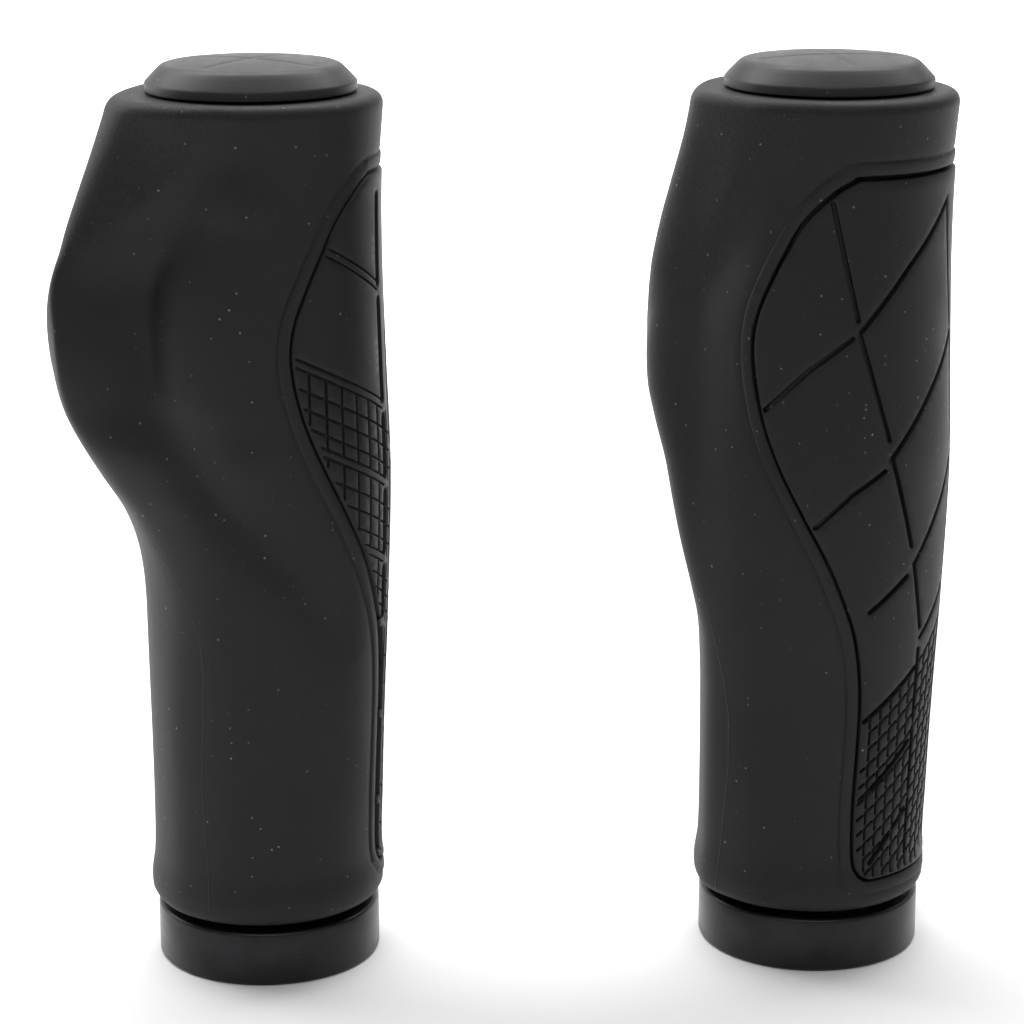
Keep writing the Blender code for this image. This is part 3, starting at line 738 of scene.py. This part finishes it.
def tread_relief(places, grooves):
    """Depth of the tread at flat places, and how far they are outside the nearest groove."""
    depth, clear = np.zeros(len(places)), np.full(len(places), FAR)
    for width, deep, path in grooves:
        half = width / 2
        low, high = path.min(0) - REACH, path.max(0) + REACH
        near = np.flatnonzero(((places > low) & (places < high)).all(1))
        distance = path_distance(places[near], path)
        cut = np.interp(distance, (half - GROOVE_WALL, half, half + GROOVE_LIP), (deep, LIP_DROP, 0.0))
        depth[near] = np.maximum(depth[near], cut)
        clear[near] = np.minimum(clear[near], distance - half)
    return depth, clear


def tread_triangles(grooves):
    """Flat places and triangles of the pad's face, with an edge along every groove and outline."""
    loops = [pad_outline(inside) for inside, _ in EDGE_LOOPS]
    for width, _, path in grooves:
        loops += [contour(path, width / 2 + offset) for offset in (GROOVE_LIP, 0.0, -GROOVE_WALL)]
    places, edges, count = [], [], 0
    for loop in loops:
        places.append(loop)
        edges += [(count + i, count + (i + 1) % len(loop)) for i in range(len(loop))]
        count += len(loop)
    across, up = FACET
    reach = UNROLL * np.pi / 2
    rows, columns = np.arange(PAD_BOTTOM, PAD_TOP, up), np.arange(-reach, reach, across)
    grid = np.array([(x, z) for z in rows for x in columns])
    clear = tread_relief(grid, grooves)[1]
    places.append(grid[(edge_distance(grid) > FROM_EDGE) & (clear > FROM_GROOVE)])
    points = [Vector(place) for place in np.concatenate(places)]
    made = delaunay_2d_cdt(points, edges, [], 0, MERGED)
    flat_places = np.array([tuple(v) for v in made[0]])
    triangles = np.array(made[2])
    middles = flat_places[triangles].mean(axis=1)
    return flat_places, triangles[edge_distance(middles) > 0.0]


def tread_pad(grip, look):
    """Tread pad: its grooved face, its sides and its back, as one closed piece."""
    grooves = tread_grooves()
    places, triangles = tread_triangles(grooves)
    depth = tread_relief(places, grooves)[0]
    drop = np.interp(edge_distance(places), *np.array(EDGE_LOOPS).T)
    angle, height = places[:, 0] / UNROLL + np.pi, places[:, 1]
    barrel = barrel_radius(angle, height)
    rings = [polar(radius, angle, height)
             for radius in (barrel + PAD_RISE - np.maximum(depth, drop), barrel - PAD_DEPTH)]
    count = len(places)
    faces = [tuple(triangle) for triangle in triangles.tolist()]
    edges = dict.fromkeys(edge for a, b, c in faces for edge in ((a, b), (b, c), (c, a)))
    back = [(c + count, b + count, a + count) for a, b, c in faces]
    sides = [(b, a, a + count, b + count) for a, b in edges if (b, a) not in edges]
    grip.piece("tread", "grip", "tread_rubber", np.concatenate(rings), faces + back + sides, look,
               ["tread_pad"], sharp=38.0)


def round_angles(steps):
    return np.linspace(0.0, 2 * np.pi, steps, endpoint=False)


def turned(profile, steps, closed=False):
    """Points and faces turned from radii and heights; closed joins the profile's ends."""
    points = [polar(radius, round_angles(steps), height) for radius, height in profile]
    faces = grid_faces(len(profile), steps, close_rows=closed)
    if not closed:
        last = (len(profile) - 1) * steps
        faces.append(tuple(range(steps))[::-1])
        faces.append(tuple(range(last, last + steps)))
    return np.concatenate(points), faces


def about_z(points, degrees):
    c, s = math.cos(math.radians(degrees)), math.sin(math.radians(degrees))
    x, y, z = np.asarray(points, float).T
    return np.column_stack((x * c - y * s, x * s + y * c, z))


def beside_slit(points):
    """Turns points from an axis along Z to the bolt's axis, before the ring is turned."""
    x, y, z = np.asarray(points, float).T
    return np.column_stack((BOLT_OFFSET + x, z, BOLT_HEIGHT - y))


def carve(grip, target, points, faces, operation, bevel=0.0):
    """Joins a shape made from local points to a piece, or cuts it away."""
    mesh = bpy.data.meshes.new("cutter")
    if grip.hand < 0:
        faces = [face[::-1] for face in faces]
    mesh.from_pydata(grip.world(points).tolist(), [], faces)
    cutter = bpy.data.objects.new("cutter", mesh)
    bpy.context.scene.collection.objects.link(cutter)
    if bevel:
        rounding = cutter.modifiers.new("round", "BEVEL")
        rounding.width = bevel * MM
        rounding.segments = LUG_SEGMENTS
    modifier = target.modifiers.new("carve", "BOOLEAN")
    modifier.operation = operation
    modifier.object = cutter
    modifier.solver = "EXACT"
    apply_modifiers(target)
    bpy.data.objects.remove(cutter, do_unlink=True)


def apply_modifiers(target):
    view = bpy.context.evaluated_depsgraph_get()
    mesh = bpy.data.meshes.new_from_object(target.evaluated_get(view))
    target.modifiers.clear()
    target.data = mesh


def block(low, high):
    corners = [(x, y, z) for z in (low[2], high[2]) for y in (low[1], high[1]) for x in (low[0], high[0])]
    faces = [(0, 2, 3, 1), (4, 5, 7, 6), (0, 1, 5, 4), (2, 6, 7, 3), (0, 4, 6, 2), (1, 3, 7, 5)]
    return np.array(corners), faces


def clamp_ring(grip, look):
    """Split ring with its lug, the slit, the bolt's hole and seat and the slots for the tabs."""
    wall, top = RING_RADIUS - RING_EASE, RING_HEIGHT - RING_EASE_LEVELS[1]
    profile = [(RING_RADIUS - RING_CHAMFER, 0.0), (wall, RING_EASE_LEVELS[0]), (RING_RADIUS, RING_CHAMFER),
               (RING_RADIUS, RING_HEIGHT - RING_CHAMFER), (wall, top),
               (RING_RADIUS - RING_CHAMFER, RING_HEIGHT), (BAR_RADIUS + BORE_CHAMFER, RING_HEIGHT),
               (BAR_RADIUS, RING_HEIGHT - BORE_CHAMFER), (BAR_RADIUS, BORE_CHAMFER),
               (BAR_RADIUS + BORE_CHAMFER, 0.0)]
    turn = RING_INDEX[grip.side]
    points, faces = turned(profile, RING_STEPS, closed=True)
    placed = about_z(points, turn)
    ring = grip.piece("collar", "ring", "black_aluminium", placed, faces, look, ["clamp_ring"])

    def shape(low, high, operation, degrees=turn, bevel=0.0):
        corners, sides = block(low, high)
        carve(grip, ring, about_z(corners, degrees), sides, operation, bevel)

    shape(*LUG, "UNION", bevel=LUG_ROUND)
    width, reach = TAB_SLOT
    for slot in range(2):
        shape((-reach, -width / 2, TAB_SLOT_BOTTOM), (reach, width / 2, RING_HEIGHT + CUT_PAST),
              "DIFFERENCE", turn + TAB_OFFSET + 90 * slot)
    shape((BAR_RADIUS - CUT_PAST, -SLIT_WIDTH / 2, -CUT_PAST),
          (LUG[1][0] + CUT_PAST, SLIT_WIDTH / 2, RING_HEIGHT + CUT_PAST), "DIFFERENCE")
    lug_face = LUG[1][1]
    for radius, start, end in ((BOLT_HOLE, BOLT_END - HOLE_PAST, lug_face + CUT_PAST),
                               (HEAD_SEAT, lug_face, lug_face + SEAT_PAST)):
        points, faces = turned(((radius, start), (radius, end)), HOLE_STEPS)
        carve(grip, ring, about_z(beside_slit(points), turn), faces, "DIFFERENCE")
    eased = ring.modifiers.new("ease", "BEVEL")
    eased.width = EDGE_BEVEL * MM
    eased.segments = BEVEL_SEGMENTS
    eased.limit_method = "ANGLE"
    eased.angle_limit = math.radians(EDGE_ANGLE)
    apply_modifiers(ring)
    ring.data.shade_smooth()
    ring.data.set_sharp_from_angle(angle=math.radians(SMOOTH_ANGLE))


def clamp_bolt(grip, look):
    """Socket head bolt with its thread and hex socket."""
    angle = round_angles(BOLT_STEPS)
    sector = (angle + np.pi / 6) % (np.pi / 3) - np.pi / 6
    hexagon = HEX_ACROSS / 2 / np.cos(sector)
    tip = BOLT_END - UNDER_HEAD
    profile = [(CENTRE_RADIUS, tip), (BOLT_RADIUS - TIP_CHAMFER, tip)]
    for height in np.arange(tip + THREAD_START, THREAD_END, THREAD_STEP):
        turns = height / THREAD_PITCH - grip.hand * angle / (2 * np.pi)
        ridge = np.abs(turns % 1.0 - 0.5) * 2
        fade = min(1.0, (height - tip) / THREAD_GROWTH)
        radius = BOLT_RADIUS - TIP_CHAMFER * (1 - fade) - THREAD_DEPTH * ridge * fade
        profile.append((radius, height))
    profile += [(BOLT_RADIUS - SHANK_INSET, SHANK_FOOT), (BOLT_RADIUS - SHANK_INSET, 0.0)]
    profile += [(HEAD_RADIUS - inset, height) for inset, height in HEAD_FOOT]
    profile += [(HEAD_RADIUS - inset, HEAD_LENGTH - drop) for inset, drop in HEAD_RIM]
    wider, deeper = HEX_CHAMFER
    floor = HEAD_LENGTH - HEX_DEPTH
    profile += [(hexagon + wider, HEAD_LENGTH), (hexagon, HEAD_LENGTH - deeper), (hexagon, floor),
                (CENTRE_RADIUS, floor - HEX_CONE)]
    points, faces = turned(profile, BOLT_STEPS)
    points = points + np.array((0.0, 0.0, UNDER_HEAD))
    placed = about_z(beside_slit(points), RING_INDEX[grip.side])
    grip.piece("bolt", "bolt", "bolt_steel", placed, faces, look, ["clamp_bolt"], sharp=30.0)


def end_cap(grip, look):
    """Domed plug with two shallow creases across its top and a ribbed, hollow stem."""
    spigot = CAP_OUTLINE[0][1]
    profile = [(CENTRE_RADIUS, spigot), (STEM_HOLLOW, spigot), (STEM_HOLLOW, STEM_BOTTOM + STEM_EASE),
               (STEM_HOLLOW + STEM_EASE, STEM_BOTTOM), (STEM_RADIUS - STEM_CHAMFER, STEM_BOTTOM),
               (STEM_RADIUS, STEM_BOTTOM + STEM_CHAMFER)]
    pitch = (spigot - STEM_BOTTOM) / (STEM_RIBS + 1)
    for rib in range(STEM_RIBS):
        foot = STEM_BOTTOM + pitch * (rib + 1) - STEM_RIB_DROP
        profile += [(radius, foot + height) for radius, height in STEM_RIB_OUTLINE]
    profile.append((STEM_RADIUS, spigot))
    profile += CAP_OUTLINE
    edge, rim = CAP_OUTLINE[-1]
    for radius in np.arange(edge - CAP_STEP, CAP_MIDDLE, -CAP_STEP):
        profile.append((radius, CAP_CROWN - (CAP_CROWN - rim) * (radius / edge) ** 2))
    points, faces = turned(profile, CAP_STEPS)
    top = points[:, 2] > rim + ABOVE_RIM
    starts, ends = CREASE_FADE
    for direction in np.radians(CREASES):
        across = np.abs(points[:, 0] * math.sin(direction) - points[:, 1] * math.cos(direction))
        fade = 1 - smooth_step(np.hypot(points[:, 0], points[:, 1]), edge - starts, edge - ends)
        crease = CREASE_DEPTH * np.clip(1 - across / CREASE_WIDTH, 0.0, 1.0) * fade
        points[:, 2] -= np.where(top, crease, 0.0)
    grip.piece("cap", "cap", "cap_plastic", points, faces, look, ["end_cap"], sharp=32.0)


class Look:
    """A procedural material on the Principled shader, with small helpers for its nodes."""

    def __init__(self, name, inputs):
        self.material = bpy.data.materials.new(name)
        self.material.use_nodes = True
        self.tree = self.material.node_tree
        self.shader = self.tree.nodes["Principled BSDF"]
        self.fill(self.shader, inputs)
        self.place = self.node("ShaderNodeTexCoord", {}).outputs["Object"]

    def fill(self, node, inputs):
        """Sets a node's inputs to values, or links them to other nodes' outputs."""
        for key, value in inputs.items():
            if isinstance(value, bpy.types.NodeSocket):
                self.tree.links.new(value, node.inputs[key])
            else:
                node.inputs[key].default_value = value

    def node(self, kind, inputs, **settings):
        made = self.tree.nodes.new(kind)
        for key, value in settings.items():
            setattr(made, key, value)
        self.fill(made, inputs)
        return made

    def math(self, operation, first, second):
        return self.node("ShaderNodeMath", {0: first, 1: second}, operation=operation).outputs[0]

    def noise(self, scale, detail, rough=0.55, stretch=None):
        """Noise with a feature size of about 1/scale metres."""
        made = self.node("ShaderNodeTexNoise", {"Scale": scale, "Detail": detail, "Roughness": rough})
        place = self.place
        if stretch:
            mapping = self.node("ShaderNodeMapping", {"Vector": place, "Scale": stretch})
            place = mapping.outputs["Vector"]
        self.fill(made, {"Vector": place})
        return made.outputs["Fac"]

    def remap(self, source, low, high, to_low=0.0, to_high=1.0, smooth=False):
        inputs = {"Value": source, "From Min": low, "From Max": high, "To Min": to_low, "To Max": to_high}
        curve = "SMOOTHSTEP" if smooth else "LINEAR"
        return self.node("ShaderNodeMapRange", inputs, interpolation_type=curve).outputs["Result"]

    def blend(self, factor, first, second):
        """Runs from one colour to another; each is three numbers or a node's output."""
        first, second = [(*end, 1.0) if isinstance(end, tuple) else end for end in (first, second)]
        inputs = {"Factor": factor, 6: first, 7: second}
        return self.node("ShaderNodeMix", inputs, data_type="RGBA").outputs[2]

    def bump(self, height, distance, strength, under=None):
        made = self.node("ShaderNodeBump", {"Height": height, "Distance": distance, "Strength": strength})
        if under:
            self.fill(made, {"Normal": under})
        return made.outputs["Normal"]

    def dusted(self, shade, scale, share, strength):
        """A colour with a few tiny pale specks on it."""
        cells = self.node("ShaderNodeTexVoronoi", {"Vector": self.place, "Scale": scale})
        speck = self.remap(cells.outputs["Distance"], 0.08, 0.15, 1.0, 0.0)
        parts = self.node("ShaderNodeSeparateColor", {0: cells.outputs["Color"]})
        chosen = self.math("GREATER_THAN", parts.outputs[0], 1.0 - share)
        paleness = self.math("POWER", parts.outputs[1], 2.5)
        specks = self.math("MULTIPLY", self.math("MULTIPLY", speck, chosen), paleness)
        return self.blend(self.math("MULTIPLY", specks, strength), shade, DUST)

    def finish(self, colour, roughness, normal):
        self.fill(self.shader, {"Base Color": colour, "Roughness": roughness, "Normal": normal})
        return self.material


# Colours and lengths in the materials are linear values and metres; noise runs mostly from 0.3 to 0.7.
MIDDLE = (0.3, 0.7)
# Paler colour of the fine grain; on the wing's back it is also used for a painted glancing highlight.
PALE_GRAIN_AND_SHEEN = (0.021, 0.021, 0.0213)
DUST = (0.35, 0.35, 0.34)


def body_rubber():
    """Moulded rubber: a fine grain, coarser behind the parting lines, where paler specks are a painted
    highlight from glancing light, and a little dust.
    """
    look = Look("body_rubber", {"Specular IOR Level": 0.25})
    seam = look.node("ShaderNodeAttribute", {}, attribute_name="seam").outputs["Fac"]
    edge = look.node("ShaderNodeAttribute", {}, attribute_name="coarse").outputs["Fac"]
    back = look.remap(edge, -0.6, 0.9, smooth=True)
    line = look.remap(look.math("ABSOLUTE", seam, 0.0), 0.0, 0.16, 1.0, 0.0, smooth=True)
    grain = look.noise(3600.0, 4.0, 0.7)
    mottle = look.noise(70.0, 3.0)
    rough_grain_and_sheen = look.noise(2300.0, 2.0, 0.6)
    shade = look.blend(look.remap(mottle, *MIDDLE), (0.0105, 0.0105, 0.0108), (0.013, 0.013, 0.0133))
    shade = look.blend(look.math("MULTIPLY", look.remap(grain, 0.35, 0.65), 0.3), shade, PALE_GRAIN_AND_SHEEN)
    # Pale specks on the wing's back: painted highlight that stands in for glancing light on the coarse
    # grain.
    sheen_spots = look.remap(rough_grain_and_sheen, 0.45, 0.7, 0.0, 0.75)
    shade = look.blend(look.math("MULTIPLY", back, sheen_spots), shade, PALE_GRAIN_AND_SHEEN)
    shade = look.dusted(shade, 760.0, 0.4, 0.5)
    roughness = look.remap(grain, *MIDDLE, 0.5, 0.62)
    roughness = look.math("ADD", roughness, look.math("MULTIPLY", back, 0.05))
    coarse = look.math("MULTIPLY", rough_grain_and_sheen, back)
    normal = look.bump(grain, 0.00004, 0.7)
    normal = look.bump(coarse, 0.00007, 0.8, under=normal)
    normal = look.bump(line, 0.00006, 1.0, under=normal)
    return look.finish(shade, roughness, normal)


def tread_rubber():
    """Smoother rubber of the tread pad, with faint flow marks."""
    look = Look("tread_rubber", {"Specular IOR Level": 0.25})
    grain = look.noise(6500.0, 3.0, 0.6)
    mottle = look.noise(90.0, 4.0)
    shade = look.blend(look.remap(mottle, *MIDDLE), (0.0095, 0.0095, 0.0098), (0.0125, 0.0125, 0.0128))
    shade = look.dusted(shade, 800.0, 0.4, 0.5)
    roughness = look.remap(mottle, *MIDDLE, 0.47, 0.58)
    return look.finish(shade, roughness, look.bump(grain, 0.00003, 0.55))


def sleeve_nylon():
    look = Look("sleeve_nylon", {"Specular IOR Level": 0.4})
    grain = look.noise(1500.0, 3.0)
    shade = look.blend(grain, (0.010, 0.010, 0.011), (0.018, 0.018, 0.019))
    return look.finish(shade, look.remap(grain, *MIDDLE, 0.42, 0.56), look.bump(grain, 0.00003, 0.5))


def black_aluminium():
    """Black anodising over fine turning lines."""
    look = Look("black_anodised", {"Metallic": 0.85})
    lines = look.noise(1.0, 4.0, 0.7, stretch=(30.0, 30.0, 7000.0))
    stain = look.noise(160.0, 3.0)
    shade = look.blend(look.remap(stain, *MIDDLE), (0.022, 0.022, 0.024), (0.032, 0.032, 0.034))
    roughness = look.remap(lines, *MIDDLE, 0.24, 0.36)
    roughness = look.math("ADD", roughness, look.remap(stain, *MIDDLE, 0.0, 0.05))
    return look.finish(shade, roughness, look.bump(lines, 0.000015, 0.35))


def bolt_steel():
    look = Look("bolt_steel", {"Metallic": 1.0})
    lines = look.noise(900.0, 4.0, 0.6)
    shade = look.blend(lines, (0.55, 0.545, 0.53), (0.72, 0.715, 0.70))
    return look.finish(shade, look.remap(lines, *MIDDLE, 0.2, 0.34), look.bump(lines, 0.00002, 0.4))


def cap_plastic():
    """Moulded plastic with a fine spark-eroded grain and faint handling marks."""
    look = Look("cap_plastic", {"Specular IOR Level": 0.38})
    grain = look.noise(4200.0, 3.0, 0.6)
    rubbed = look.noise(220.0, 5.0, 0.7, stretch=(1.0, 0.25, 1.0))
    shade = look.blend(look.remap(rubbed, 0.35, 0.7), (0.013, 0.013, 0.0135), (0.019, 0.019, 0.0196))
    shade = look.dusted(shade, 560.0, 0.25, 0.4)
    return look.finish(shade, look.remap(rubbed, 0.3, 0.75, 0.42, 0.56), look.bump(grain, 0.00004, 0.6))


# The studio, in metres.
FLOOR_FRONT = -3.0
SWEEP_START = 1.2
SWEEP_RADIUS = 1.5
SWEEP_DEGREES = range(10, 91, 10)
WALL_TOP = 4.0
HALF_WIDTH = 4.0
BACKDROP_COLOUR = (0.93, 0.93, 0.93, 1.0)
BACKDROP_ROUGHNESS = 0.9
WORLD_LIGHT = 0.30
# Name, place, what it faces, size and power of each light.
SOFTBOXES = (
    ("left_box", (-0.30, 0.12, 0.26), (-0.03, 0.0, 0.07), (0.15, 0.45), 0.60),
    ("top_box", (0.0, 0.25, 0.85), (0.0, 0.0, 0.1), (0.9, 0.6), 3.0),
    ("back_wash", (0.0, 0.7, 1.1), (0.0, 1.6, 0.0), (2.4, 0.6), 60.0),
    ("floor_wash", (0.0, -1.0, 1.6), (0.0, 0.2, 0.0), (1.6, 0.8), 6.0),
)
SENSOR = 36.0  # millimetres, as is the focal length
FOCAL_LENGTH = 105.5
CLIP = (0.01, 20.0)
CAMERA_PLACE = (0.0006, -0.4131, 0.1766)
CAMERA_TILT = 15.2


def backdrop_material():
    made = bpy.data.materials.new("backdrop")
    made.use_nodes = True
    shader = made.node_tree.nodes["Principled BSDF"]
    shader.inputs["Base Color"].default_value = BACKDROP_COLOUR
    shader.inputs["Roughness"].default_value = BACKDROP_ROUGHNESS
    return made


def studio():
    """A pale floor that curves up behind, soft lights round it, and the camera."""
    scene = bpy.context.scene
    profile = [(FLOOR_FRONT, 0.0), (SWEEP_START, 0.0)]
    profile += [(SWEEP_START + SWEEP_RADIUS * math.sin(t), SWEEP_RADIUS - SWEEP_RADIUS * math.cos(t))
                for t in np.radians(SWEEP_DEGREES)]
    profile.append((SWEEP_START + SWEEP_RADIUS, WALL_TOP))
    points = [(x, y, z) for y, z in profile for x in (-HALF_WIDTH, HALF_WIDTH)]
    faces = [(2 * i, 2 * i + 1, 2 * i + 3, 2 * i + 2) for i in range(len(profile) - 1)]
    mesh = bpy.data.meshes.new("backdrop")
    mesh.from_pydata(points, [], faces)
    mesh.shade_smooth()
    backdrop = bpy.data.objects.new("backdrop", mesh)
    scene.collection.objects.link(backdrop)
    mesh.materials.append(backdrop_material())

    world = bpy.data.worlds.new("studio")
    scene.world = world
    world.use_nodes = True
    light = world.node_tree.nodes["Background"].inputs
    light["Color"].default_value = (1.0, 1.0, 1.0, 1.0)
    light["Strength"].default_value = WORLD_LIGHT
    for name, place, target, size, power in SOFTBOXES:
        lamp = bpy.data.lights.new(name, "AREA")
        lamp.shape = "RECTANGLE"
        lamp.size, lamp.size_y = size
        lamp.energy = power
        made = bpy.data.objects.new(name, lamp)
        made.location = place
        made.rotation_euler = (Vector(target) - Vector(place)).to_track_quat("-Z", "Y").to_euler()
        scene.collection.objects.link(made)

    lens = bpy.data.cameras.new("camera")
    lens.sensor_width = SENSOR
    lens.lens = FOCAL_LENGTH
    lens.clip_start, lens.clip_end = CLIP
    camera = bpy.data.objects.new("camera", lens)
    camera.location = CAMERA_PLACE
    camera.rotation_euler = (math.radians(90.0 - CAMERA_TILT), 0.0, 0.0)
    scene.collection.objects.link(camera)
    scene.camera = camera
    scene.view_settings.view_transform = "Standard"


def main():
    looks = {"body": body_rubber(), "tread": tread_rubber(), "ring": black_aluminium(),
             "bolt": bolt_steel(), "cap": cap_plastic(), "sleeve": sleeve_nylon()}
    for side in WING_TURN:
        grip = Grip(side)
        grip_body(grip, looks["body"])
        tread_pad(grip, looks["tread"])
        clamp_ring(grip, looks["ring"])
        clamp_bolt(grip, looks["bolt"])
        end_cap(grip, looks["cap"])
        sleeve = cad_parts[f"{side}_inner_sleeve"]
        for slot in sleeve.material_slots:
            slot.material = looks["sleeve"]
    studio()


main()
